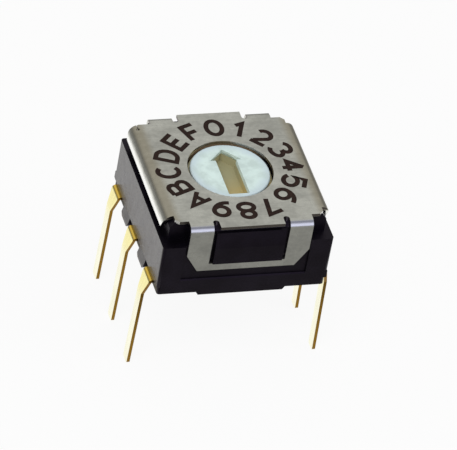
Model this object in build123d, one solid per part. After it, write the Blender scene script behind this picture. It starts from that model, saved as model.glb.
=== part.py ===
"""Rotary code switch with sixteen positions and six pins for a circuit board.

The frame: +Z is up, z = 0 is the face of the board that the switch is soldered on, and the
rotor's axis is the Z axis. -Y is the front. Lengths are in millimetres.
The switch is a black two-part case in a stamped metal cover. A white dial on an amber rotor
turns in it, and code windows in a disc under the rotor pass over five sprung contacts.
"""

import os
from math import cos, pi, sin

from build123d import *

# Case: heights are above the board
case_width = 7.04
case_depth = 6.84
case_top = 3.39
ledge_z = 2.52
side_edge_z = 0.50
corner_round = 0.12
post_width = 0.93
riser_setback = 0.50
side_wall = 0.57
end_wall = 0.56
cavity_step_z = 1.02
ceiling_z = 2.00
spring_shelf = 1.05
flange_gap = 0.10

# Cover
sheet = 0.13
cover_overhang = 0.08
cover_gap = 0.03
skirt_inset = 0.10
skirt_gap = 0.06
skirt_radius = 0.37
skirt_drop = 0.73
skirt_long_setback = 0.42
skirt_short_setback = 0.78
skirt_slant = 0.30
plate_setback = 0.40
plate_corner = 0.16
flap_radius = 0.31
flap_side_gap = 0.07
leg_width = 0.95
slot_width = 0.25
slot_depth = 0.45
strap_bottom_z = 1.33
strap_height = 0.34
strap_chamfer_x = 0.51
strap_chamfer_z = 0.79
relief_radius = 0.07
relief_setback = 0.68

# Catches that the cover's loops snap over
catch_side_gap = 0.14
catch_reach = 0.24
catch_drop = 0.19
catch_seat_gap = 0.02

# Base
base_bottom_z = 0.15
base_inset = 0.06
band_height = 0.33
band_bevel = 0.05
foot_flare = 0.08
foot_length = 0.90
foot_taper = 0.12
standoff_width = 3.50
standoff_bevel = 0.10
boss_radius = 0.60
boss_gap = 0.02
pivot_clearance = 0.03

# Pins and contacts: the pins' reach puts the two rows 7.62 apart
pitch = 2.54
pin_reach = 0.355
pin_width = 0.50
shoulder_width = 0.84
shoulder_end_z = -0.33
pin_tip_z = -4.00
pin_tip_chamfer = 0.06
pin_splay = 0.10
knee_reach = 0.17
bend_radius = 0.14
lead_root = 0.24
strip_width = 0.40
finger_width = 0.26
finger_sheet = 0.08
finger_root_length = 0.12
contact_gap = 0.01
common_ring_radius = 1.00

# Rotor
dial_sink = 0.08
dial_gap = 0.12
dial_thickness = 0.22
dial_edge = 0.08
neck_gap = 0.05
flange_drop = 0.35
flange_thickness = 0.70
hub_radius = 0.60
pivot_radius = 0.40
pivot_bottom_z = 0.30
slot_depth_z = 0.57
arrow_edge = 0.30
arrow_tail_edge = 0.20
arrow_head = 0.65
arrow_half_width = 0.64
arrow_shaft_half_width = 0.43
groove_drop = 0.88
ring_section = 0.42
ring_clearance = 0.02

# Code disc
wiper_turns = [135, 45, 225, 315]
disc_thickness = 0.10
disc_inset = 0.05
disc_rim = 0.10
track_inner_radius = 0.70
track_gap = 0.05
window_margin = 2

# Detent
spring_sheet = 0.10
spring_gap = 0.14
spring_bore_gap = 0.11
arm_slot_inset = 0.22
arm_slot_width = 0.10
arm_half_angle = 52
arm_room = 0.16
ear_width = 0.70
ear_reach = 0.38
bump_half_width = 0.34
bump_clearance = 0.02
notch_depth = 0.12
notch_half_width = 0.30

# Sizes that follow from the ones above
case_x = case_width / 2
case_y = case_depth / 2
cover_top = case_top + sheet
flap_face_y = case_y + cover_overhang
front_wall_y = flap_face_y - sheet - cover_gap
recess_width = case_width - 2 * post_width
flap_width = recess_width - 2 * flap_side_gap
window_width = flap_width - 2 * leg_width
window_bottom_z = strap_bottom_z + strap_height
tongue_width = window_width - 2 * slot_width
catch_width = window_width - 2 * catch_side_gap
skirt_face_x = case_x - skirt_inset
skirt_start_x = skirt_face_x - skirt_radius
riser_width = 2 * (skirt_face_x - sheet - skirt_gap)
riser_depth = case_depth - 2 * riser_setback
band_top_z = side_edge_z + band_height
cavity_width = case_width - 2 * side_wall
cavity_depth = case_depth - 2 * end_wall
rotor_room = min(cavity_width, cavity_depth) / 2 - base_inset
bore_radius = rotor_room - spring_shelf
dial_hole_radius = bore_radius - 0.01
dial_radius = dial_hole_radius - dial_gap
dial_top_z = cover_top - dial_sink
slot_floor_z = dial_top_z - slot_depth_z
neck_radius = bore_radius - neck_gap
flange_radius = rotor_room - flange_gap
flange_top_z = ceiling_z - flange_drop
disc_top_z = flange_top_z - flange_thickness
disc_bottom_z = disc_top_z - disc_thickness
disc_radius = flange_radius - disc_inset
bit_tracks = len(wiper_turns)
positions = 2**bit_tracks
track_pitch = (disc_radius - disc_rim - track_inner_radius) / (bit_tracks + 1)
groove_top_z = dial_top_z - groove_drop
groove_bottom_z = groove_top_z - ring_section - 2 * ring_clearance
groove_radius = bore_radius - ring_clearance - ring_section
boss_top_z = disc_bottom_z - boss_gap
arrow_tip_y = dial_radius - arrow_edge
arrow_tail_y = arrow_tail_edge - dial_radius
notch_pitch = 360 / positions
spring_outer_radius = rotor_room - spring_gap
spring_inner_radius = bore_radius + spring_bore_gap
arm_slot_radius = spring_inner_radius + arm_slot_inset
pin_face_x = case_x + pin_reach
cover_reach = flap_face_y + sheet


def block(x0, x1, y0, y1, z0, z1):
    """Box between two corners."""
    middle = ((x0 + x1) / 2, (y0 + y1) / 2, (z0 + z1) / 2)
    return Pos(*middle) * Box(abs(x1 - x0), abs(y1 - y0), abs(z1 - z0))


def slab(width, depth, z0, z1):
    """Box centred on the rotor's axis, between two heights."""
    return block(-width / 2, width / 2, -depth / 2, depth / 2, z0, z1)


def disc(radius, z0, z1):
    """Cylinder on the rotor's axis, between two heights."""
    return Pos(0, 0, (z0 + z1) / 2) * Cylinder(radius, z1 - z0)


def both_ends(shape):
    """The shape and the same shape turned half round the rotor's axis."""
    return shape + Rot(0, 0, 180) * shape


def bent_flange(face, radius, drop, width):
    """Sheet that leaves the cover's plate in +X, bends down and ends below the top by drop."""
    start = face - radius
    outline = [
        CenterArc((start, -radius), radius, 0, 90),
        Line((face, -radius), (face, -drop)),
        Line((face, -drop), (face - sheet, -drop)),
        Line((face - sheet, -drop), (face - sheet, -radius)),
        CenterArc((start, -radius), radius - sheet, 0, 90),
        Line((start, -sheet), (start, 0)),
    ]
    section = Plane.XZ * make_face(outline)
    return Pos(0, 0, cover_top) * extrude(section, width / 2, both=True)


def skirt_end():
    """What is cut off the front end of a right-hand skirt to slant it."""
    front_y = skirt_short_setback - case_y
    foot_z = cover_top - skirt_drop
    slant = Polyline(
        (front_y, cover_top - skirt_radius / 2),
        (front_y + skirt_slant, foot_z),
        (front_y, foot_z),
        close=True,
    )
    return extrude(Plane.YZ * make_face(slant), skirt_face_x)


def side_skirt(rear_setback):
    """Right-hand skirt whose front end is short and slanted."""
    rear_y = case_y - rear_setback
    front_y = skirt_short_setback - case_y
    skirt = bent_flange(skirt_face_x, skirt_radius, skirt_drop, rear_y - front_y)
    return Pos(0, (rear_y + front_y) / 2, 0) * skirt - skirt_end()


def end_flap():
    """Front loop: two legs and a strap, with a window for the case's catch."""
    flap = bent_flange(flap_face_y, flap_radius, cover_top - strap_bottom_z, flap_width)
    half = flap_width / 2
    foot = half - strap_chamfer_x
    outline = Polyline(
        (-half, cover_top),
        (-half, strap_bottom_z + strap_chamfer_z),
        (-foot, strap_bottom_z),
        (foot, strap_bottom_z),
        (half, strap_bottom_z + strap_chamfer_z),
        (half, cover_top),
        close=True,
    )
    flap = Rot(0, 0, -90) * flap & extrude(Plane.XZ * make_face(outline), cover_reach)
    half_window = window_width / 2
    return flap - block(-half_window, half_window, -cover_reach, 0, window_bottom_z, cover_top)


def plate_slot():
    """Relief slot with a round end, at the right of the front tongue."""
    inner = tongue_width / 2
    middle = inner + slot_width / 2
    end_y = flap_face_y - slot_depth + slot_width / 2
    low = cover_top - sheet
    slot = block(inner, inner + slot_width, -cover_reach, -end_y, low, cover_top)
    return slot + Pos(middle, -end_y, low + sheet / 2) * Cylinder(slot_width / 2, sheet)


def cover_plate():
    """Flat top of the cover, with the dial hole and the slots beside the two tongues."""
    low = cover_top - sheet
    corners = slab(2 * skirt_start_x, 2 * (case_y - plate_setback), low, cover_top)
    uprights = corners.edges().filter_by(Axis.Z)
    uprights = uprights.sort_by(lambda edge: edge.center().X - edge.center().Y)
    plate = chamfer(uprights[1:], plate_corner)
    plate += slab(flap_width, 2 * (flap_face_y - flap_radius), low, cover_top)
    plate += slab(tongue_width, 2 * flap_face_y, low, cover_top)
    plate -= both_ends(plate_slot() + mirror(plate_slot(), Plane.YZ))
    return plate - disc(dial_hole_radius, low, cover_top)


def make_cover():
    """One stamped and bent sheet: plate, two loops and two skirts, the left one longer at the rear."""
    right = side_skirt(skirt_short_setback) - mirror(skirt_end(), Plane.XZ)
    left = mirror(side_skirt(skirt_long_setback), Plane.YZ)
    cover = cover_plate() + right + left + both_ends(end_flap())
    relief_x = -skirt_start_x - relief_radius
    relief_y = case_y - relief_setback
    relief = Pos(relief_x, relief_y, cover_top) * Cylinder(relief_radius, 2 * sheet)
    slit = block(
        relief_x - cover_gap / 2,
        relief_x + cover_gap / 2,
        relief_y,
        case_y,
        cover_top - 2 * sheet,
        cover_top,
    )
    return cover - relief - slit


def make_catch():
    """Front catch: a wedge that starts at the wall and ends in a flat seat for the strap."""
    wall_y = -front_wall_y
    seat_z = window_bottom_z + catch_seat_gap
    top_z = case_top - catch_drop
    outline = Polyline(
        (wall_y, top_z),
        (wall_y - catch_reach * 0.6, top_z),
        (wall_y - catch_reach, top_z - 3 * catch_reach),
        (wall_y - catch_reach, seat_z),
        (wall_y, seat_z),
        close=True,
    )
    return extrude(Plane.YZ * make_face(outline), catch_width / 2, both=True)


def relieved_block(width, depth, relief, drop):
    """Block under the cover's plate, whose two top edges along Y are relieved for the bends."""
    half = width / 2
    outline = Polyline(
        (-half, ledge_z),
        (-half, case_top - drop),
        (relief - half, case_top),
        (half - relief, case_top),
        (half, case_top - drop),
        (half, ledge_z),
        close=True,
    )
    return extrude(Plane.XZ * make_face(outline), depth / 2, both=True)


def make_housing(spring):
    """Upper case: corner posts, recesses for the cover's loops, catches, bore and cavity."""
    lower = slab(case_width, case_depth, side_edge_z, ledge_z)
    body = fillet(lower.edges().filter_by(Axis.Z), corner_round)
    for side in (-1, 1):
        body -= block(
            -recess_width / 2,
            recess_width / 2,
            side * front_wall_y,
            side * case_depth,
            side_edge_z,
            ledge_z,
        )
    body += relieved_block(
        riser_width, riser_depth, skirt_radius - sheet - skirt_gap, skirt_radius - sheet
    )
    middle = relieved_block(
        2 * front_wall_y,
        flap_width - 2 * cover_gap,
        flap_radius - sheet - cover_gap,
        flap_radius - sheet,
    )
    body += Rot(0, 0, 90) * middle
    body += both_ends(make_catch())
    body -= slab(cavity_width, cavity_depth, side_edge_z, cavity_step_z)
    body -= slab(recess_width, case_depth, side_edge_z, band_top_z)
    body -= both_ends(corner_block())
    body -= disc(rotor_room, side_edge_z, ceiling_z)
    body -= disc(bore_radius, ceiling_z, case_top)
    body -= both_ends(arm_sector(arm_slot_radius, rotor_room, ceiling_z, arm_room))
    return body - spring


def corner_block():
    """Corner at the front right where the base reaches up into the case."""
    return block(
        recess_width / 2,
        case_x,
        -case_y,
        -cavity_depth / 2,
        side_edge_z,
        band_top_z,
    )


def make_foot():
    """Right-hand foot between two pins: it flares out from the wall and tapers to the board."""
    inner = case_x - lead_root
    outer = case_x + foot_flare
    half = foot_length / 2
    side = Polyline(
        (inner, side_edge_z),
        (case_x, side_edge_z),
        (outer, base_bottom_z),
        (outer, 0),
        (inner, 0),
        close=True,
    )
    end = Polyline(
        (-half, side_edge_z),
        (-half, base_bottom_z),
        (foot_taper - half, 0),
        (half - foot_taper, 0),
        (half, base_bottom_z),
        (half, side_edge_z),
        close=True,
    )
    foot = extrude(Plane.XZ * make_face(side), half, both=True)
    return foot & extrude(Plane.YZ * make_face(end), outer)


def make_base(contacts):
    """Lower case: floor with feet, bands, standoff and pivot boss, moulded round the contacts."""
    floor = slab(case_width - 2 * base_inset, case_depth, base_bottom_z, side_edge_z)
    base = fillet(floor.edges().filter_by(Axis.Z), corner_round)
    band = block(
        -recess_width / 2,
        recess_width / 2,
        -case_y,
        -cavity_depth / 2,
        side_edge_z,
        band_top_z,
    )
    band_edge = band.edges().filter_by(Axis.X).sort_by(Axis.Z)[-2:].sort_by(Axis.Y)[0]
    base += both_ends(chamfer(band_edge, band_bevel) + corner_block())
    for y in (-pitch / 2, pitch / 2):
        base += both_ends(Pos(0, y, 0) * make_foot())
    half = standoff_width / 2
    outline = Polyline(
        (-half - standoff_bevel, base_bottom_z),
        (-half, 0),
        (half, 0),
        (half + standoff_bevel, base_bottom_z),
        close=True,
    )
    base += extrude(Plane.XZ * make_face(outline), case_y, both=True)
    base += disc(boss_radius, side_edge_z, boss_top_z)
    bore_bottom_z = pivot_bottom_z - pivot_clearance
    base -= disc(pivot_radius + pivot_clearance, bore_bottom_z, boss_top_z)
    for contact in contacts:
        base -= contact
    return base


def make_pin():
    """Right-hand pin at y = 0: a lead, a bend, a leaning tapered shoulder and a splayed leg."""
    face = pin_face_x
    top = side_edge_z
    root = case_x - lead_root
    knee = case_x + knee_reach
    lean = (face - knee) / (top - shoulder_end_z)
    tip_x = face + pin_splay
    outline = Polyline(
        (root, top),
        (knee, top),
        (face, shoulder_end_z),
        (tip_x, pin_tip_z),
        (tip_x - sheet, pin_tip_z),
        (face - sheet, shoulder_end_z),
        (knee - sheet + lean * sheet, top - sheet),
        (root, top - sheet),
        close=True,
    )
    strip = extrude(Plane.XZ * make_face(outline), shoulder_width / 2, both=True)
    bend = strip.edges().filter_by(Axis.Y).sort_by(lambda edge: edge.center().X + edge.center().Z)
    strip = fillet(bend[-1], bend_radius)
    bend_z = top - bend_radius
    wide = shoulder_width / 2
    narrow = pin_width / 2
    front = Polyline(
        (-wide, top),
        (-wide, bend_z),
        (-narrow, shoulder_end_z),
        (-narrow, pin_tip_z + pin_tip_chamfer),
        (pin_tip_chamfer - narrow, pin_tip_z),
        (narrow - pin_tip_chamfer, pin_tip_z),
        (narrow, pin_tip_z + pin_tip_chamfer),
        (narrow, shoulder_end_z),
        (wide, bend_z),
        (wide, top),
        close=True,
    )
    return strip & extrude(Plane.YZ * make_face(front), tip_x)


def make_finger(length):
    """Sprung finger: it starts flat at the origin, rises along +Y and ends in a rounded toe."""
    low = side_edge_z - finger_sheet
    toe_z = disc_bottom_z - contact_gap
    rise = toe_z - low - finger_sheet
    toe_start = length - 3 * finger_sheet
    outline = Polyline(
        (-finger_root_length, low),
        (0, low),
        (toe_start, low + rise),
        (length, low + rise),
        (length + finger_sheet, low + rise - 2 * finger_sheet),
        (length + 2 * finger_sheet, low + rise - finger_sheet),
        (length + finger_sheet / 2, toe_z),
        (toe_start - finger_sheet / 3, toe_z),
        (-finger_sheet / 3, low + finger_sheet),
        (-finger_root_length, low + finger_sheet),
        close=True,
    )
    return extrude(Plane.YZ * make_face(outline), finger_width / 2, both=True)


def track_radius(index):
    """Middle radius of a track of the code disc: 0 is the common track, 1 to 4 are the bits."""
    return track_inner_radius + (index + 0.5) * track_pitch


def make_bit_contact(side_x, side_y, index):
    """Contact of one bit: a corner pin, a strip under the rotor and a finger to its track."""
    pin = make_pin()
    if side_x < 0:
        pin = Rot(0, 0, 180) * pin
    contact = Pos(0, side_y * pitch, 0) * pin
    touch = track_radius(index) * cos(pi / 4)
    strip_end = side_x * (touch - strip_width / 2)
    contact += block(
        strip_end,
        side_x * (case_x - base_inset),
        side_y * pitch - strip_width / 2,
        side_y * pitch + strip_width / 2,
        side_edge_z - sheet,
        side_edge_z,
    )
    root_y = pitch - strip_width / 2
    finger = Pos(0, -root_y, 0) * make_finger(root_y - touch)
    if side_y > 0:
        finger = Rot(0, 0, 180) * finger
    return contact + Pos(side_x * touch, 0, 0) * finger


def make_common_contact():
    """Common contact: both middle pins on one strip, with a ring round the pivot's boss."""
    low = side_edge_z - sheet
    contact = both_ends(make_pin())
    contact += slab(case_width - 2 * base_inset, strip_width, low, side_edge_z)
    contact += disc(common_ring_radius, low, side_edge_z)
    contact -= disc(boss_radius, low, side_edge_z)
    touch = track_radius(0)
    root_x = track_radius(bit_tracks)
    frame_end = root_x + strip_width
    contact += block(touch, frame_end, -strip_width, strip_width, low, side_edge_z)
    contact -= disc(boss_radius, low, side_edge_z)
    contact -= block(touch, root_x, -finger_width, finger_width, low, side_edge_z)
    finger = Pos(0, -root_x, 0) * make_finger(root_x - touch)
    return contact + Rot(0, 0, 90) * finger


def sector(inner, outer, start, sweep, bottom, height):
    """Ring sector, from the angle start round through the angle sweep."""
    outline = [
        CenterArc((0, 0), inner, start, sweep),
        CenterArc((0, 0), outer, start, sweep),
    ]
    for angle in (start, start + sweep):
        direction = Vector(cos(angle * pi / 180), sin(angle * pi / 180))
        outline.append(Line(direction * inner, direction * outer))
    return Pos(0, 0, bottom) * extrude(make_face(outline), height)


def code_windows():
    """Windows of the four bit tracks: each bit is open where its digit of the code is 0."""
    windows = []
    for index, turn in enumerate(wiper_turns, start=1):
        inner = track_radius(index) - (track_pitch - track_gap) / 2
        outer = track_radius(index) + (track_pitch - track_gap) / 2
        run = 2 ** (bit_tracks - index)
        for first in range(0, positions, 2 * run):
            start = turn + (first - 0.5) * notch_pitch + window_margin
            sweep = run * notch_pitch - 2 * window_margin
            windows.append(sector(inner, outer, start, sweep, disc_bottom_z, disc_thickness))
    return windows


def make_code_disc():
    """Stamped disc under the rotor, with a solid common track and four tracks of windows."""
    plate = disc(disc_radius, disc_bottom_z, disc_top_z)
    plate -= disc(hub_radius, disc_bottom_z, disc_top_z)
    for window in code_windows():
        plate -= window
    return plate


def arrow_face():
    """Arrow outline of the screwdriver slot, pointing to +Y."""
    half = arrow_half_width
    shaft = arrow_shaft_half_width
    barb_y = arrow_tip_y - arrow_head
    return make_face(
        Polyline(
            (0, arrow_tip_y),
            (half, barb_y),
            (shaft, barb_y),
            (shaft, arrow_tail_y),
            (-shaft, arrow_tail_y),
            (-shaft, barb_y),
            (-half, barb_y),
            close=True,
        )
    )


def make_dial():
    """White cap on the rotor, with the arrow cut through it."""
    bottom = dial_top_z - dial_thickness
    cap = disc(dial_radius, bottom, dial_top_z)
    cap = fillet(cap.faces().sort_by(Axis.Z)[-1].edges(), dial_edge)
    return cap - Pos(0, 0, bottom) * extrude(arrow_face(), dial_thickness)


def notch_cutter():
    """V groove across the flange's top, on the front side."""
    outline = Polyline(
        (-notch_half_width, flange_top_z),
        (0, flange_top_z - notch_depth),
        (notch_half_width, flange_top_z),
        close=True,
    )
    groove = extrude(Plane.XZ * make_face(outline), rotor_room)
    return groove - disc(spring_inner_radius, flange_top_z - notch_depth, flange_top_z)


def make_rotor():
    """Amber rotor: neck with a seal groove, notched flange and pivot."""
    neck_top = dial_top_z - dial_thickness
    body = disc(neck_radius, flange_top_z, neck_top)
    body += disc(flange_radius, disc_top_z, flange_top_z)
    body += disc(hub_radius, disc_bottom_z, disc_top_z)
    body += disc(pivot_radius, pivot_bottom_z, disc_bottom_z)
    groove = disc(neck_radius, groove_bottom_z, groove_top_z)
    body -= groove - disc(groove_radius, groove_bottom_z, groove_top_z)
    body -= Pos(0, 0, slot_floor_z) * extrude(arrow_face(), neck_top - slot_floor_z)
    cutter = notch_cutter()
    for step in range(positions):
        body -= Rot(0, 0, step * notch_pitch) * cutter
    return body


def make_seal_ring():
    """Rubber ring in the rotor's groove, just clear of the bore."""
    middle_z = groove_bottom_z + ring_clearance + ring_section / 2
    return Pos(0, 0, middle_z) * Torus(groove_radius + ring_section / 2, ring_section / 2)


def arm_sector(inner, outer, bottom, height):
    """Ring sector over the front arm of the detent spring."""
    return sector(inner, outer, 270 - arm_half_angle, 2 * arm_half_angle, bottom, height)


def make_detent_spring():
    """Flat ring under the ceiling with two freed arms, whose bumps rest in the notches."""
    top = ceiling_z
    low = ceiling_z - spring_sheet
    reach = low - flange_top_z + notch_depth - bump_clearance
    half = bump_half_width
    outline = Polyline(
        (-half, top),
        (-half, low),
        (-spring_sheet / 2, low - reach),
        (spring_sheet / 2, low - reach),
        (half, low),
        (half, top),
        (spring_sheet, top - reach + spring_sheet / 2),
        (-spring_sheet, top - reach + spring_sheet / 2),
        close=True,
    )
    bump = extrude(Plane.XZ * make_face(outline), rotor_room)
    bump &= disc(spring_outer_radius, low - reach, top)
    bump -= disc(arm_slot_radius + arm_slot_width, low - reach, top)
    ring = disc(spring_outer_radius, low, top) - disc(spring_inner_radius, low, top)
    ring += slab(2 * (spring_outer_radius + ear_reach), ear_width, low, top)
    ring -= disc(spring_inner_radius, low, top)
    arm_edge = arm_slot_radius + arm_slot_width
    ring -= both_ends(arm_sector(arm_slot_radius, arm_edge, low, spring_sheet))
    bump_gap = block(-half, half, -rotor_room, 0, low, top)
    bump_gap -= disc(arm_edge, low, top)
    return ring - both_ends(bump_gap) + both_ends(bump)


def make_parts():
    """All the pieces, by the name of their node."""
    contacts = {
        "contact_common": make_common_contact(),
        "contact_bit_8": make_bit_contact(-1, 1, 1),
        "contact_bit_4": make_bit_contact(1, 1, 2),
        "contact_bit_2": make_bit_contact(-1, -1, 3),
        "contact_bit_1": make_bit_contact(1, -1, 4),
    }
    spring = make_detent_spring()
    parts = {
        "cover": make_cover(),
        "housing": make_housing(spring),
        "base": make_base(contacts.values()),
        "rotor": make_rotor(),
        "dial": make_dial(),
        "seal_ring": make_seal_ring(),
        "code_disc": make_code_disc(),
        "detent_spring": spring,
    }
    return parts | contacts


def main():
    """Writes one STEP file for each piece."""
    os.makedirs("parts", exist_ok=True)
    for name, shape in make_parts().items():
        export_step(shape, os.path.join("parts", name + ".step"))


main()
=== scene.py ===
"""Looks of a sixteen-position rotary code switch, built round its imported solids.

The frame is in metres: +Z up, the board's face at z = 0, the rotor's axis on Z and the front at -Y.
"""

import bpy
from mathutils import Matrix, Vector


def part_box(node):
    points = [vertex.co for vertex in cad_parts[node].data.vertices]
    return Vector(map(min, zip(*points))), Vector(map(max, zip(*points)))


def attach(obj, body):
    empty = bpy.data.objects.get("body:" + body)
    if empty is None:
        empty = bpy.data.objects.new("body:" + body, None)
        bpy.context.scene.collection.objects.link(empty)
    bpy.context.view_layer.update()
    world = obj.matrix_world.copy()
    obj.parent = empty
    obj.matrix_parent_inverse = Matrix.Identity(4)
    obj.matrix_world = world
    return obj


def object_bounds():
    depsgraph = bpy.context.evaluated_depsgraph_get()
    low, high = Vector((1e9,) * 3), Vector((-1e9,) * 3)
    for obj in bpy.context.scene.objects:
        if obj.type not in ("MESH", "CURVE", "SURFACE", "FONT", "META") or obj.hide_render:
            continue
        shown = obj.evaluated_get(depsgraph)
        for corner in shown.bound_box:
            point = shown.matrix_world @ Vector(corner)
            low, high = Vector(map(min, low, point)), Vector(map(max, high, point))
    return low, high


bl_info = {
    "name": "Rotary Code Switch",
    "version": (1, 0, 0),
    "blender": (4, 5, 0),
    "location": "3D View > Sidebar > Switch",
    "description": "Finishes, printed dial characters and studio of a rotary code switch",
    "category": "Object",
}

from math import cos, hypot, pi, radians, sin

import bpy
from mathutils import Matrix, Vector

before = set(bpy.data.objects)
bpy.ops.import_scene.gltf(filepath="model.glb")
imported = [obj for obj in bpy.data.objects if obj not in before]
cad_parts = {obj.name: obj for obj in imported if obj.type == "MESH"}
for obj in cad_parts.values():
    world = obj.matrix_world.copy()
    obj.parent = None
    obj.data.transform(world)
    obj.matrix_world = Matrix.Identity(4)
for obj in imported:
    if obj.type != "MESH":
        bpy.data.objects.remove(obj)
CAD_BOX = [list(corner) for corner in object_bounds()]
MM = 0.001

COVER_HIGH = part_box("cover")[1]
HOUSING_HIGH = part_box("housing")[1]
PIN_TIP_Z = CAD_BOX[0][2]

CHARACTERS = "0123456789ABCDEF"

# Thickness of the cover's sheet in millimetres, and the height of its plate's underside
SHEET = 0.13
PLATE_BASE = COVER_HIGH.z / MM - SHEET

# Heights in millimetres between which the cover's upright faces become cut edges of its plate
COVER_LIP = (PLATE_BASE, PLATE_BASE + 0.01)

# Distances from the origin in millimetres between which those cut edges turn from tan to grey
HOLE_REACH = (3.95, 4.05)

# Heights in millimetres between which the painted highlight on the skirts ends
SKIRT_SHINE = (2.95, 3.2)

# The bands of painted shade beside the cover's side bends, in millimetres: from the middle they
# start and end between these places, and they begin between these heights
BEND_START = (2.7, 3.1)
BEND_END = (3.28, 3.4)
BEND_HEIGHT = (3.0, 3.3)

# Distances from the middle in millimetres between which the case's outer side walls begin
CASE_SIDE = (HOUSING_HIGH.x / MM - 0.05, HOUSING_HIGH.x / MM - 0.03)

# The case's mouth in millimetres: its wall from the axis, the places along Y between which the
# painted light at its rear begins, and the heights between which the painted light begins
MOUTH = (1.78, 1.82)
MOUTH_REAR = (0.6, 1.4)
MOUTH_DEPTH = (2.7, 2.9)

# Distances from the axis in millimetres between which the dial turns to a cooler painted shade
DIAL_RIM_SHADE = (1.15, 1.7)

# Places along Y in millimetres between which the rotor turns from amber to an olive painted shade
SLOT_SHADE = (-1.3, 0.5)

# Heights in millimetres between which the painted highlight on the pins' faces turns from pale to
# yellow
SHOULDER = (-1.2, 0.2)

# Width in millimetres of the ragged border between two tints of moulding
RAGGED = 0.6

# Angle in degrees from which an edge is softened, the steps of its rounding, and the distance in
# millimetres under which corners are joined first
SHARP_ANGLE = 40
EDGE_STEPS = 2
WELD_DISTANCE = 0.0005


# Shader expressions


class Wire:
    """A shader socket or a number that can be used in Python sums."""

    def __init__(self, shade, source):
        self.shade = shade
        self.source = source

    def math(self, operation, *values):
        sockets = dict(enumerate((self, *values)))
        return self.shade.node("ShaderNodeMath", {"operation": operation}, sockets)

    def __add__(self, other):
        return self.math("ADD", other)

    __radd__ = __add__

    def __mul__(self, other):
        return self.math("MULTIPLY", other)

    __rmul__ = __mul__

    def __sub__(self, other):
        return self.math("SUBTRACT", other)

    def __rsub__(self, other):
        return Wire(self.shade, other).math("SUBTRACT", self)

    def clamp(self):
        return self.shade.node("ShaderNodeClamp", {}, {"Value": self})

    def between(self, low, high):
        """0 below low, 1 above high, and smooth between them."""
        return self.shade.node(
            "ShaderNodeMapRange",
            {"interpolation_type": "SMOOTHSTEP"},
            {"Value": self, "From Min": low, "From Max": high},
        )


class Shade:
    """A material or world whose nodes are added one after the other."""

    def __init__(self, holder, output="ShaderNodeOutputMaterial"):
        self.holder = holder
        holder.use_nodes = True
        self.tree = holder.node_tree
        self.tree.nodes.clear()
        self.output = self.tree.nodes.new(output)

    @classmethod
    def material(cls, name):
        return cls(bpy.data.materials.new(name))

    def node(self, kind, settings, values, output=0):
        """Adds a node: its settings first, then the values or links of its sockets."""
        made = self.tree.nodes.new(kind)
        for name, value in settings.items():
            setattr(made, name, value)
        for name, value in values.items():
            self.feed(made.inputs[name], value)
        return Wire(self, made.outputs[output])

    def feed(self, socket, value):
        """Links a wire to a socket, or sets the socket's own value."""
        if isinstance(value, Wire) and isinstance(value.source, bpy.types.NodeSocket):
            self.tree.links.new(value.source, socket)
        elif isinstance(value, Wire):
            socket.default_value = value.source
        else:
            socket.default_value = value

    def place(self, stretch=(1.0, 1.0, 1.0)):
        """Place on the object in millimetres, times the stretch."""
        spot = self.node("ShaderNodeTexCoord", {}, {}, "Object")
        scale = [factor / MM for factor in stretch]
        return self.node("ShaderNodeVectorMath", {"operation": "MULTIPLY"}, {0: spot, 1: scale})

    def part(self, vector, axis):
        """Part of a vector along one axis."""
        return self.node("ShaderNodeSeparateXYZ", {}, {"Vector": vector}, axis)

    def length(self, vector):
        """Length of a vector."""
        return self.node("ShaderNodeVectorMath", {"operation": "LENGTH"}, {0: vector}, "Value")

    def along(self, axis):
        """Place on the object along one axis, in millimetres."""
        return self.part(self.place(), axis)

    def reach(self):
        """Distance from the rotor's axis, in millimetres."""
        return self.length(self.place((1.0, 1.0, 0.0)))

    def grain(self, size, stretch=(1.0, 1.0, 1.0), detail=3.0):
        """Noise whose spots are about size millimetres across."""
        return self.node(
            "ShaderNodeTexNoise",
            {},
            {"Vector": self.place(stretch), "Scale": 1.0 / size, "Detail": detail},
        )

    def facing(self, axis):
        """1 where the surface faces along an axis, to either side, and 0 square to it."""
        normal = self.node("ShaderNodeNewGeometry", {}, {}, "Normal")
        return self.part(normal, axis).math("ABSOLUTE")

    def blend(self, share, first, second):
        """Colour between first and second; the colour sockets go by number, as names repeat."""
        sockets = {"Factor": share, 6: first, 7: second}
        return self.node("ShaderNodeMix", {"data_type": "RGBA"}, sockets, 2)

    def relief(self, height, depth):
        """Surface normal for a height of depth millimetres."""
        return self.node(
            "ShaderNodeBump", {}, {"Height": height, "Distance": depth * MM, "Strength": 1.0}
        )

    def surface(self, **values):
        """Ends the material in one Principled shader."""
        named = {name.replace("_", " "): value for name, value in values.items()}
        shader = self.node("ShaderNodeBsdfPrincipled", {}, named)
        self.feed(self.output.inputs["Surface"], shader)
        return self.holder


def rgba(colour, factor=1.0):
    """A linear colour, made darker or lighter, with full alpha."""
    return (*[channel * factor for channel in colour[:3]], 1.0)


def ragged(place, noise):
    """The place moved to and fro by a noise, so that a border on it isn't straight."""
    return place + noise * RAGGED - RAGGED / 2


# Finishes


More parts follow.
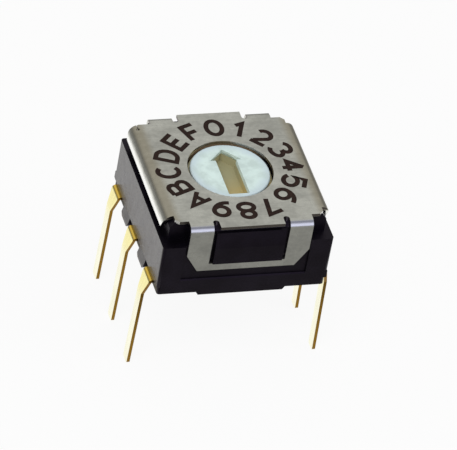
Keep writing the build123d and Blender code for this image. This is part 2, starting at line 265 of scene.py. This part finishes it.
def cover_finish(colour, highlight_tint, bend_shade, cut, bore):
    """Satin plated sheet: mottled, with dull cut edges, a painted highlight on its skirts and loop
    bends, and painted shade beside its side bends.
    """
    shade = Shade.material("cover_sheet")
    cloud = shade.grain(1.6, detail=4.0)
    blotch = shade.grain(0.45, stretch=(0.7, 1.2, 1.0), detail=4.0)
    speck = shade.grain(0.16, detail=2.0)
    rolling = shade.grain(0.5, stretch=(0.25, 9.0, 1.0), detail=2.0)
    tone = (cloud * 0.35 + blotch * 0.3 + speck * 0.2 + rolling * 0.15).between(0.36, 0.64)
    tint = shade.blend(tone, rgba(colour, 0.8), rgba(colour, 1.12))
    across = shade.along("X").math("ABSOLUTE")
    height = shade.along("Z")
    # Painted shade: a darker band beside each side bend, in place of a dark reflected horizon
    shade_band = across.between(*BEND_START) * (1 - across.between(*BEND_END))
    tint = shade.blend(shade_band * height.between(*BEND_HEIGHT) * 0.6, tint, rgba(bend_shade))
    # Painted highlight: the skirts' lower sides take a near-white tint in place of the floor's
    # reflection
    side = shade.facing("X").between(0.6, 0.95) * (1 - height.between(*SKIRT_SHINE))
    tint = shade.blend(side, tint, rgba(highlight_tint))
    lip = height.between(*COVER_LIP) * (1 - shade.facing("Z").between(0.25, 0.5))
    away = shade.length(shade.place())
    edge = shade.blend(away.between(*HOLE_REACH), rgba(bore), rgba(cut))
    tint = shade.blend(lip, tint, edge)
    # Painted highlight: the loops' bends take part of the same near-white tint
    loop_highlight = shade.facing("Y").between(0.3, 0.5) * (1 - shade.facing("Y").between(0.9, 0.99))
    return shade.surface(
        Base_Color=shade.blend(loop_highlight * 0.6, tint, rgba(highlight_tint)),
        Metallic=1.0,
        Roughness=(0.26 + 0.12 * (1 - tone)) * (1 - 0.5 * (side + loop_highlight).clamp()),
        Normal=shade.relief(rolling * 0.4 + speck + blotch * 0.6, 0.004),
    )


def case_finish(colour, sheen_tint, mouth, gloss):
    """Black moulding with a fine grain, a painted sheen on its outer sides and painted light at the
    rear of its mouth.
    """
    shade = Shade.material("case_plastic")
    fine = shade.grain(0.07, detail=2.0)
    smudge = shade.grain(0.9, detail=4.0)
    streak = shade.grain(0.4, stretch=(1.0, 1.0, 0.8), detail=4.0)
    tint = shade.blend(smudge.between(0.35, 0.7), rgba(colour, 0.7), rgba(colour, 1.6))
    patchy = 0.66 + 0.34 * (smudge * 0.5 + streak * 0.5).between(0.35, 0.65)
    outer = shade.along("X").math("ABSOLUTE").between(*CASE_SIDE)
    wall = outer * shade.facing("X").between(0.8, 0.97)
    # Painted sheen: the outer side walls take a mottled grey tint in place of their reflection
    tint = shade.blend(wall * patchy, tint, rgba(sheen_tint))
    # Painted light: the rear wall of the mouth, under the sheet, takes a pale tan
    mouth_wall = (1 - shade.reach().between(*MOUTH)) * shade.along("Z").between(*MOUTH_DEPTH)
    rear = mouth_wall * shade.along("Y").between(*MOUTH_REAR)
    tint = shade.blend(rear, tint, rgba(mouth))
    return shade.surface(
        Base_Color=tint,
        Roughness=0.3 + 0.2 * smudge - 0.16 * wall,
        IOR=1.3,
        Specular_Tint=rgba(gloss),
        Normal=shade.relief(fine, 0.006),
    )


def dial_finish(colour, rim):
    """White moulded plastic, slightly cloudy, with a cooler painted shade at its rim."""
    shade = Shade.material("dial_plastic")
    cloud = shade.grain(0.55, detail=3.0)
    tint = shade.blend(cloud.between(0.35, 0.68), rgba(colour, 0.86), rgba(colour, 1.08))
    # Painted shade: a cooler, darker tint towards the dial's rounded rim
    edge = ragged(shade.reach(), cloud).between(*DIAL_RIM_SHADE)
    tint = shade.blend(edge * 0.8, tint, rgba(rim))
    return shade.surface(
        Base_Color=tint, Roughness=0.42, Normal=shade.relief(shade.grain(0.2), 0.004)
    )


def rotor_finish(colour, worn):
    """Amber moulded plastic, with an olive painted shade under the arrow's head."""
    shade = Shade.material("rotor_plastic")
    cloud = shade.grain(0.5)
    # Painted shade: olive where the slot lies deep under the arrow's head; the worn tint is this
    # shade
    head = ragged(shade.along("Y"), cloud).between(*SLOT_SHADE)
    tint = shade.blend(head, rgba(colour), rgba(worn))
    return shade.surface(Base_Color=tint, Roughness=0.4)


def gold_finish(plate, shoulder_highlight, face_highlight, edge):
    """Gold plate on stamped strip: a pale painted highlight on the pins' side faces, and painted
    brown shade on faces toward the front and rear.
    """
    shade = Shade.material("contact_gold")
    draw = shade.grain(0.35, stretch=(1.0, 3.0, 0.3))
    # Painted highlight: faces toward the sides take pale and yellow tints
    painted_highlights = shade.blend(shade.along("Z").between(*SHOULDER), rgba(face_highlight), rgba(shoulder_highlight))
    tint = shade.blend(shade.facing("X").between(0.7, 0.93), rgba(plate), painted_highlights)
    # Painted shade: faces toward the front and rear turn brown; the edge tint is this shade
    tint = shade.blend(shade.facing("Y").between(0.6, 0.9), tint, rgba(edge))
    worn = shade.blend(draw.between(0.3, 0.7) * 0.08, tint, rgba(edge))
    return shade.surface(Base_Color=worn, Metallic=1.0, Roughness=0.16 + 0.12 * draw)


def spring_finish(colour):
    """Bright spring steel."""
    shade = Shade.material("spring_steel")
    return shade.surface(
        Base_Color=rgba(colour), Metallic=1.0, Roughness=0.25 + 0.1 * shade.grain(0.4)
    )


def rubber_finish(colour):
    """Matt seal rubber."""
    shade = Shade.material("seal_rubber")
    return shade.surface(Base_Color=rgba(colour), Roughness=0.75)


def ink_finish(colour):
    """Dark brown laser marking."""
    shade = Shade.material("mark_ink")
    patch = shade.grain(0.12)
    tint = shade.blend(patch.between(0.4, 0.75), rgba(colour), rgba(colour, 1.7))
    return shade.surface(Base_Color=tint, Roughness=0.6, IOR=1.25)


def dress(material, *nodes):
    """Gives the material to CAD nodes."""
    for name in nodes:
        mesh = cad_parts[name].data
        mesh.materials.clear()
        mesh.materials.append(material)


def soften(name, width):
    """Rounds a node's sharp edges by a width, without changing its own mesh."""
    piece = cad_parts[name]
    weld = piece.modifiers.new("weld", "WELD")
    weld.merge_threshold = WELD_DISTANCE * MM
    edge = piece.modifiers.new("soft_edges", "BEVEL")
    edge.width = width
    edge.segments = EDGE_STEPS
    edge.limit_method = "ANGLE"
    edge.angle_limit = radians(SHARP_ANGLE)


# Dial characters

# Degrees of arc between two points of a stroke, and the fewest steps of an arc
ARC_STEP = 12
FEWEST_STEPS = 3

# A corner's mitre reaches at most half the stroke's width divided by this share
MITRE_SHARE = 0.45

# A stroke is closed when its ends are nearer than this share of half its width
CLOSED_SHARE = 0.01

# Each further stroke of a character is lower by this share, so that no two faces coincide
STROKE_STEP = 0.15


def arc(x, y, half_width, half_height, start, end):
    """Points of an elliptic arc, in shares of the character's width and height."""
    steps = max(FEWEST_STEPS, round(abs(end - start) / ARC_STEP))
    turns = [radians(start + (end - start) * step / steps) for step in range(steps + 1)]
    return [(x + half_width * cos(turn), y + half_height * sin(turn)) for turn in turns]


def half_turned(strokes):
    """The strokes turned upside down."""
    return [[(-x, -y) for x, y in stroke] for stroke in strokes]


SIX = [
    arc(0, -0.18, 0.46, 0.32, 0, 360),
    arc(0.42, -0.16, 0.88, 0.66, 180, 96),
]

STROKES = {
    "0": [arc(0, 0, 0.5, 0.5, 0, 360)],
    "1": [[(-0.26, 0.26), (0.12, 0.5), (0.12, -0.5)]],
    "2": [arc(0, 0.2, 0.44, 0.3, 160, -35) + [(-0.34, -0.42)], [(-0.5, -0.5), (0.5, -0.5)]],
    "3": [arc(-0.04, 0.26, 0.44, 0.24, 155, -80), arc(-0.04, -0.24, 0.5, 0.26, 80, -155)],
    "4": [[(0.22, 0.5), (-0.42, -0.2), (0.5, -0.2)], [(0.18, 0.46), (0.18, -0.5)]],
    "5": [[(0.42, 0.5), (-0.34, 0.5), (-0.42, 0.02)] + arc(-0.02, -0.17, 0.5, 0.33, 140, -150)],
    "6": SIX,
    "7": [[(-0.46, 0.5), (0.48, 0.5), (-0.16, -0.5)]],
    "8": [arc(0, 0.26, 0.4, 0.24, -90, 270), arc(0, -0.24, 0.49, 0.26, 90, 450)],
    "9": half_turned(SIX),
    "A": [[(-0.5, -0.5), (0, 0.5), (0.5, -0.5)], [(-0.34, -0.18), (0.34, -0.18)]],
    "B": [
        [(-0.42, 0.5)] + arc(0.1, 0.27, 0.34, 0.23, 90, -90) + [(-0.42, 0.04)],
        [(0.1, 0.04)] + arc(0.08, -0.23, 0.4, 0.27, 90, -90) + [(-0.42, -0.5), (-0.42, 0.5)],
    ],
    "C": [arc(0.04, 0, 0.5, 0.5, 48, 312)],
    "D": [
        [(-0.42, 0.5), (-0.1, 0.5)]
        + arc(-0.06, 0, 0.54, 0.5, 90, -90)
        + [(-0.42, -0.5), (-0.42, 0.5)]
    ],
    "E": [[(0.44, 0.5), (-0.4, 0.5), (-0.4, -0.5), (0.44, -0.5)], [(-0.4, 0.02), (0.34, 0.02)]],
    "F": [[(0.44, 0.5), (-0.4, 0.5), (-0.4, -0.5)], [(-0.4, 0.0), (0.32, 0.0)]],
}


def ribbon_sides(points, half):
    """Left and right edge of a flat stroke, mitred at its corners."""
    gap = hypot(points[0][0] - points[-1][0], points[0][1] - points[-1][1])
    closed = gap < half * CLOSED_SHARE
    if closed:
        points = points[:-1]
    left, right = [], []
    count = len(points)
    for index, point in enumerate(points):
        before = points[index - 1] if index or closed else None
        after = points[(index + 1) % count] if index < count - 1 or closed else None
        spot = Vector(point)
        inward = (spot - Vector(before)).normalized() if before else None
        outward = (Vector(after) - spot).normalized() if after else None
        along = ((inward or outward) + (outward or inward)).normalized()
        across = Vector((-along.y, along.x))
        square = Vector((-(outward or inward).y, (outward or inward).x))
        reach = half / max(MITRE_SHARE, across.dot(square))
        left.append(spot + across * reach)
        right.append(spot - across * reach)
    return left, right, closed


def add_ribbon(corners, faces, points, half, low, high, place):
    """Adds one stroke as a thin closed solid to lists of corners and faces."""
    left, right, closed = ribbon_sides(points, half)
    first = len(corners)
    for a, b in zip(left, right):
        for height in (low, high):
            corners.append(place @ Vector((a.x, a.y, height)))
            corners.append(place @ Vector((b.x, b.y, height)))
    count = len(left)
    for index in range(count if closed else count - 1):
        here = first + 4 * index
        there = first + 4 * ((index + 1) % count)
        faces.append((here, there, there + 1, here + 1))
        faces.append((here + 2, here + 3, there + 3, there + 2))
        faces.append((here, here + 2, there + 2, there))
        faces.append((here + 1, there + 1, there + 3, here + 3))
    if not closed:
        last = first + 4 * (count - 1)
        faces.append((first, first + 1, first + 3, first + 2))
        faces.append((last, last + 2, last + 3, last + 1))


def make_character(letter, turn, sizes, ink):
    """One dial character with its top outwards, turned clockwise from the rear."""
    corners, faces = [], []
    half = sizes.stroke_width / 2
    wide = sizes.character_width - sizes.stroke_width
    high = sizes.character_height - sizes.stroke_width
    outwards = Matrix.Translation((0, sizes.ring_radius, COVER_HIGH.z))
    place = Matrix.Rotation(-turn, 4, "Z") @ outwards
    for index, stroke in enumerate(STROKES[letter]):
        points = [(x * wide, y * high) for x, y in stroke]
        rise = sizes.ink_height * (1 - STROKE_STEP * index)
        add_ribbon(corners, faces, points, half, -rise, rise, place)
    mesh = bpy.data.meshes.new("mark_" + letter)
    mesh.from_pydata(corners, [], faces)
    mesh.materials.append(ink)
    mesh.validate()
    mark = bpy.data.objects.new("mark_" + letter, mesh)
    bpy.context.scene.collection.objects.link(mark)
    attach(mark, "case")


# Settings


def length(name, description, default):
    """A length that a user can change."""
    return bpy.props.FloatProperty(
        name=name, description=description, default=default, unit="LENGTH", precision=6
    )


def colour(name, description, default):
    """A linear colour that a user can change."""
    return bpy.props.FloatVectorProperty(
        name=name, description=description, default=default, subtype="COLOR", size=3, max=1.0
    )


class SwitchColours(bpy.types.PropertyGroup):
    """Base colours of the switch's materials."""

    cover: colour("Cover", "Plated sheet", (0.6, 0.6, 0.535))
    # Painted highlight on the cover's skirts and the loops' bends
    cover_painted_highlight: colour("Burnished sides", "Plated sheet's sides", (1.0, 1.0, 0.95))
    # Painted shade beside the cover's side bends
    cover_bend_shade: colour("Dull bends", "Plated sheet beside its bends", (0.36, 0.31, 0.2))
    cover_bore: colour("Hole's edge", "Edge of the sheet round the dial", (0.46, 0.36, 0.24))
    cover_cut: colour("Cut sheet", "Cut edges of the plated sheet", (0.16, 0.14, 0.12))
    case: colour("Case", "Black moulding", (0.0022, 0.0018, 0.0034))
    # Painted sheen on the case's outer side walls
    case_painted_sheen: colour("Case sides", "Haze on the case's sides", (0.145, 0.142, 0.132))
    # Painted light on the rear wall of the case's mouth
    case_painted_mouth_light: colour("Case mouth", "Rear wall of the case's mouth", (0.2, 0.14, 0.085))
    case_gloss: colour("Case gloss", "Tint of the black moulding's gloss", (0.96, 0.74, 1.0))
    dial: colour("Dial", "White moulding", (0.74, 0.9, 0.86))
    # Painted shade at the dial's rim
    dial_painted_rim_shade: colour("Dial's rim", "White moulding at its rim", (0.6, 0.72, 0.8))
    rotor: colour("Rotor", "Amber moulding", (0.6, 0.47, 0.19))
    # Painted shade under the arrow's head
    rotor_painted_shade: colour("Worn rotor", "Moulding under the arrow's head", (0.44, 0.41, 0.24))
    gold: colour("Gold", "Gold plate at the bends of the contacts", (1.0, 0.68, 0.12))
    # Painted highlight on the pins' shoulders and faces
    gold_shoulder_highlight: colour("Gold shoulders", "Gold plate on the shoulders", (1.0, 0.91, 0.43))
    gold_face_highlight: colour("Gold faces", "Gold plate on the pins' faces", (1.0, 0.98, 0.76))
    # Painted shade on the contacts' faces toward the front and rear
    gold_edge_shade: colour("Gold edges", "Cut edges of the contacts", (0.23, 0.125, 0.016))
    spring: colour("Spring", "Spring steel", (0.55, 0.55, 0.55))
    rubber: colour("Seal ring", "Rubber", (0.03, 0.03, 0.03))
    ink: colour("Marks", "Dial characters", (0.019, 0.009, 0.006))


class SwitchEdges(bpy.types.PropertyGroup):
    """Widths of the softened edges."""

    housing: length("Upper case", "Softened edges of the upper case", 0.03 * MM)
    base: length("Lower case", "Softened edges of the lower case", 0.02 * MM)
    dial: length("Dial", "Softened edges of the dial and its arrow", 0.035 * MM)


class SwitchMarks(bpy.types.PropertyGroup):
    """Sizes of the dial characters."""

    ring_radius: length("Ring radius", "Axis to the middle of a character", 2.57 * MM)
    character_height: length("Height", "Height of a character", 1.06 * MM)
    character_width: length("Width", "Width of a character", 0.84 * MM)
    stroke_width: length("Stroke", "Width of a stroke", 0.2 * MM)
    ink_height: length("Ink", "Height of the marking above the sheet", 0.004 * MM)


class SwitchStudio(bpy.types.PropertyGroup):
    """Camera and floor."""

    azimuth: bpy.props.FloatProperty(
        name="Azimuth", description="Turn of the camera", default=radians(-22.03), unit="ROTATION"
    )
    elevation: bpy.props.FloatProperty(
        name="Elevation", description="Camera height", default=radians(39.07), unit="ROTATION"
    )
    roll: bpy.props.FloatProperty(
        name="Roll", description="Tilt of the picture", default=radians(10.85), unit="ROTATION"
    )
    distance: length("Distance", "Camera to the switch", 191.3 * MM)
    lens: bpy.props.FloatProperty(
        name="Lens", description="Focal length in millimetres", default=376.7
    )
    aim_height: length("Aim height", "Height of the point aimed at", 1.08 * MM)
    floor_size: length("Floor", "Side of the floor", 4.0)
    floor: colour("Floor colour", "Pale floor", (0.86, 0.86, 0.86))


# Operators


class SwitchStep(bpy.types.Operator):
    """A step in building the switch's looks"""

    bl_options = {"REGISTER", "UNDO"}

    def execute(self, context):
        self.build(context.scene)
        return {"FINISHED"}


class SWITCH_OT_cover(SwitchStep):
    """Finish the stamped cover"""

    bl_idname = "switch.cover"
    bl_label = "Finish Cover"

    def build(self, scene):
        colours = scene.switch_colours
        edges = (colours.cover_cut, colours.cover_bore)
        finish = cover_finish(colours.cover, colours.cover_painted_highlight, colours.cover_bend_shade, *edges)
        dress(finish, "cover")


class SWITCH_OT_case(SwitchStep):
    """Finish the two halves of the case"""

    bl_idname = "switch.case"
    bl_label = "Finish Case"

    def build(self, scene):
        colours = scene.switch_colours
        tints = (colours.case_painted_sheen, colours.case_painted_mouth_light, colours.case_gloss)
        dress(case_finish(colours.case, *tints), "housing", "base")
        soften("housing", scene.switch_edges.housing)
        soften("base", scene.switch_edges.base)


class SWITCH_OT_dial(SwitchStep):
    """Finish the dial, the rotor and its seal ring"""

    bl_idname = "switch.dial"
    bl_label = "Finish Dial and Rotor"

    def build(self, scene):
        colours = scene.switch_colours
        dress(dial_finish(colours.dial, colours.dial_painted_rim_shade), "dial")
        soften("dial", scene.switch_edges.dial)
        dress(rotor_finish(colours.rotor, colours.rotor_painted_shade), "rotor")
        dress(rubber_finish(colours.rubber), "seal_ring")


class SWITCH_OT_contacts(SwitchStep):
    """Finish the contacts, the code disc and the detent spring"""

    bl_idname = "switch.contacts"
    bl_label = "Finish Contacts"

    def build(self, scene):
        colours = scene.switch_colours
        contacts = [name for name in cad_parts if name.startswith("contact_")]
        painted_highlights = (colours.gold_shoulder_highlight, colours.gold_face_highlight)
        gold = gold_finish(colours.gold, *painted_highlights, colours.gold_edge_shade)
        dress(gold, "code_disc", *contacts)
        dress(spring_finish(colours.spring), "detent_spring")


class SWITCH_OT_marks(SwitchStep):
    """Print the sixteen dial characters round the hole"""

    bl_idname = "switch.marks"
    bl_label = "Print Dial Characters"

    def build(self, scene):
        ink = ink_finish(scene.switch_colours.ink)
        step = 2 * pi / len(CHARACTERS)
        for index, letter in enumerate(CHARACTERS):
            make_character(letter, index * step, scene.switch_marks, ink)


# Width of the photograph, and how far its centre is from the point aimed at, in pixels
PHOTO_WIDTH = 457
AIM_RIGHT = 6.95
AIM_DOWN = 9.38


class SWITCH_OT_camera(SwitchStep):
    """Place the camera at the photograph's angle"""

    bl_idname = "switch.camera"
    bl_label = "Place Camera"

    def build(self, scene):
        studio = scene.switch_studio
        data = bpy.data.cameras.new("camera")
        data.sensor_width = 36.0
        data.lens = studio.lens
        data.clip_start = 0.01
        data.clip_end = 20.0
        turn, rise, roll = studio.azimuth, studio.elevation, studio.roll
        forward = Vector((-sin(turn) * cos(rise), cos(turn) * cos(rise), -sin(rise)))
        level = Vector((cos(turn), sin(turn), 0))
        upright = level.cross(forward)
        right = cos(roll) * level + sin(roll) * upright
        up = cos(roll) * upright - sin(roll) * level
        eye = Vector((0, 0, studio.aim_height)) - forward * studio.distance
        focal = studio.lens / data.sensor_width * PHOTO_WIDTH
        aim = (forward + right * (AIM_RIGHT / focal) - up * (AIM_DOWN / focal)).normalized()
        right = (right - aim * right.dot(aim)).normalized()
        up = right.cross(aim)
        camera = bpy.data.objects.new("camera", data)
        camera.matrix_world = Matrix(
            (
                (right.x, up.x, -aim.x, eye.x),
                (right.y, up.y, -aim.y, eye.y),
                (right.z, up.z, -aim.z, eye.z),
                (0, 0, 0, 1),
            )
        )
        scene.collection.objects.link(camera)
        scene.camera = camera


# Shares of white: the floor's own glow; what gloss shows of the floor near the switch and away
# from it, of the sky behind and in front and of the horizon; and the plain light on all else
FLOOR_GLOW = 0.91
NEAR_FLOOR = 1.0
FAR_FLOOR = 0.33
REAR_SKY = 0.62
FRONT_SKY = 1.0
HORIZON = 0.2
ROOM_LIGHT = 0.5

# Tint of the sky in front of the switch, as a window would give
COOL_SKY = (0.74, 0.76, 1.0)

# Parts of a view direction between which the sky changes: along Y from the front sky to the
# rear one, and along Z at the foot of the rear sky and at the window's foot and top
SKY_DIVIDE = (-0.3, 0.2)
REAR_FOOT = (0.15, 0.55)
WINDOW_FOOT = (0.0, 0.12)
WINDOW_TOP = (0.5, 0.85)

# Share of its light that the window loses towards its top
WINDOW_FADE = 0.85

# The bright part of the floor, in millimetres: where it starts along Y, and where it fades out
CARD_FRONT = (-8.0, -3.5)
CARD_REACH = (13.0, 24.0)

# Lamps: name, place and side in metres, and power in watts
LAMPS = (
    ("key_light", (-0.12, -0.14, 0.22), 0.16, 0.32),
    ("fill_light", (0.22, -0.10, 0.16), 0.16, 0.12),
)


class SWITCH_OT_stage(SwitchStep):
    """Lay the floor and set up the lamps"""

    bl_idname = "switch.stage"
    bl_label = "Build Stage"

    def build(self, scene):
        studio = scene.switch_studio
        half = studio.floor_size / 2
        square = ((-half, -half), (half, -half), (half, half), (-half, half))
        mesh = bpy.data.meshes.new("floor")
        mesh.from_pydata([(x, y, PIN_TIP_Z) for x, y in square], [], [(0, 1, 2, 3)])
        mesh.materials.append(floor_finish(studio.floor))
        floor = bpy.data.objects.new("floor", mesh)
        scene.collection.objects.link(floor)
        light_world(scene)
        for lamp in LAMPS:
            add_softbox(*lamp)
        scene.view_settings.view_transform = "Standard"


def light_path(shade, kind):
    """1 for one kind of ray, and 0 for the others."""
    return shade.node("ShaderNodeLightPath", {}, {}, "Is %s Ray" % kind)


def gloss_path(shade):
    """1 for rays that gloss or glass sends on."""
    return (light_path(shade, "Glossy") + light_path(shade, "Transmission")).clamp()


def floor_finish(tone):
    """Pale floor, near white away from the shadow; gloss shows it bright beside and behind."""
    shade = Shade.material("floor")
    camera = light_path(shade, "Camera")
    gloss = gloss_path(shade)
    spot = shade.place()
    behind = shade.part(spot, "Y").between(*CARD_FRONT)
    near = 1 - shade.length(spot).between(*CARD_REACH)
    card = FAR_FLOOR + (NEAR_FLOOR - FAR_FLOOR) * behind * near
    strength = camera + (1 - camera) * card
    matt = shade.node("ShaderNodeBsdfDiffuse", {}, {"Color": rgba(tone)})
    glow = shade.node("ShaderNodeEmission", {}, {"Color": (1, 1, 1, 1), "Strength": strength})
    share = camera * FLOOR_GLOW + gloss
    mixed = shade.node("ShaderNodeMixShader", {}, {0: share, 1: matt, 2: glow})
    shade.feed(shade.output.inputs["Surface"], mixed)
    return shade.holder


def light_world(scene):
    """White surroundings for the camera, a sky with a darker horizon for gloss, and plain light."""
    scene.world = bpy.data.worlds.new("studio")
    sky = Shade(scene.world, "ShaderNodeOutputWorld")
    direction = sky.node("ShaderNodeTexCoord", {}, {}, "Generated")
    rise = sky.part(direction, "Z")
    behind = sky.part(direction, "Y").between(*SKY_DIVIDE)
    rear = HORIZON + (REAR_SKY - HORIZON) * rise.between(*REAR_FOOT)
    window = rise.between(*WINDOW_FOOT) * (1 - WINDOW_FADE * rise.between(*WINDOW_TOP))
    front = HORIZON + (FRONT_SKY - HORIZON) * window
    camera = light_path(sky, "Camera")
    gloss = gloss_path(sky)
    shown = gloss * (behind * rear + (1 - behind) * front)
    strength = camera + shown + (1 - camera) * (1 - gloss) * ROOM_LIGHT
    cool = sky.blend(gloss * (1 - behind), (1, 1, 1, 1), rgba(COOL_SKY))
    background = sky.node("ShaderNodeBackground", {}, {"Color": cool, "Strength": strength})
    sky.feed(sky.output.inputs["Surface"], background)


def add_softbox(name, place, size, power):
    """Square lamp that faces the switch."""
    lamp = bpy.data.lights.new(name, "AREA")
    lamp.size = size
    lamp.energy = power
    softbox = bpy.data.objects.new(name, lamp)
    softbox.location = place
    softbox.rotation_euler = (-Vector(place)).to_track_quat("-Z", "Y").to_euler()
    bpy.context.scene.collection.objects.link(softbox)


# Panel and registration

STEPS = (
    SWITCH_OT_cover,
    SWITCH_OT_case,
    SWITCH_OT_dial,
    SWITCH_OT_contacts,
    SWITCH_OT_marks,
    SWITCH_OT_stage,
    SWITCH_OT_camera,
)


class SWITCH_PT_panel(bpy.types.Panel):
    """Steps that build the switch's looks"""

    bl_label = "Rotary Code Switch"
    bl_idname = "SWITCH_PT_panel"
    bl_space_type = "VIEW_3D"
    bl_region_type = "UI"
    bl_category = "Switch"

    def draw(self, context):
        for step in STEPS:
            self.layout.operator(step.bl_idname)


CLASSES = (SwitchColours, SwitchEdges, SwitchMarks, SwitchStudio, *STEPS, SWITCH_PT_panel)


def register():
    for item in CLASSES:
        bpy.utils.register_class(item)
    bpy.types.Scene.switch_colours = bpy.props.PointerProperty(type=SwitchColours)
    bpy.types.Scene.switch_edges = bpy.props.PointerProperty(type=SwitchEdges)
    bpy.types.Scene.switch_marks = bpy.props.PointerProperty(type=SwitchMarks)
    bpy.types.Scene.switch_studio = bpy.props.PointerProperty(type=SwitchStudio)


def unregister():
    del bpy.types.Scene.switch_studio
    del bpy.types.Scene.switch_marks
    del bpy.types.Scene.switch_edges
    del bpy.types.Scene.switch_colours
    for item in reversed(CLASSES):
        bpy.utils.unregister_class(item)


def main():
    """Registers the add-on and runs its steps."""
    register()
    bpy.ops.switch.cover()
    bpy.ops.switch.case()
    bpy.ops.switch.dial()
    bpy.ops.switch.contacts()
    bpy.ops.switch.marks()
    bpy.ops.switch.stage()
    bpy.ops.switch.camera()


if __name__ == "__main__":
    main()
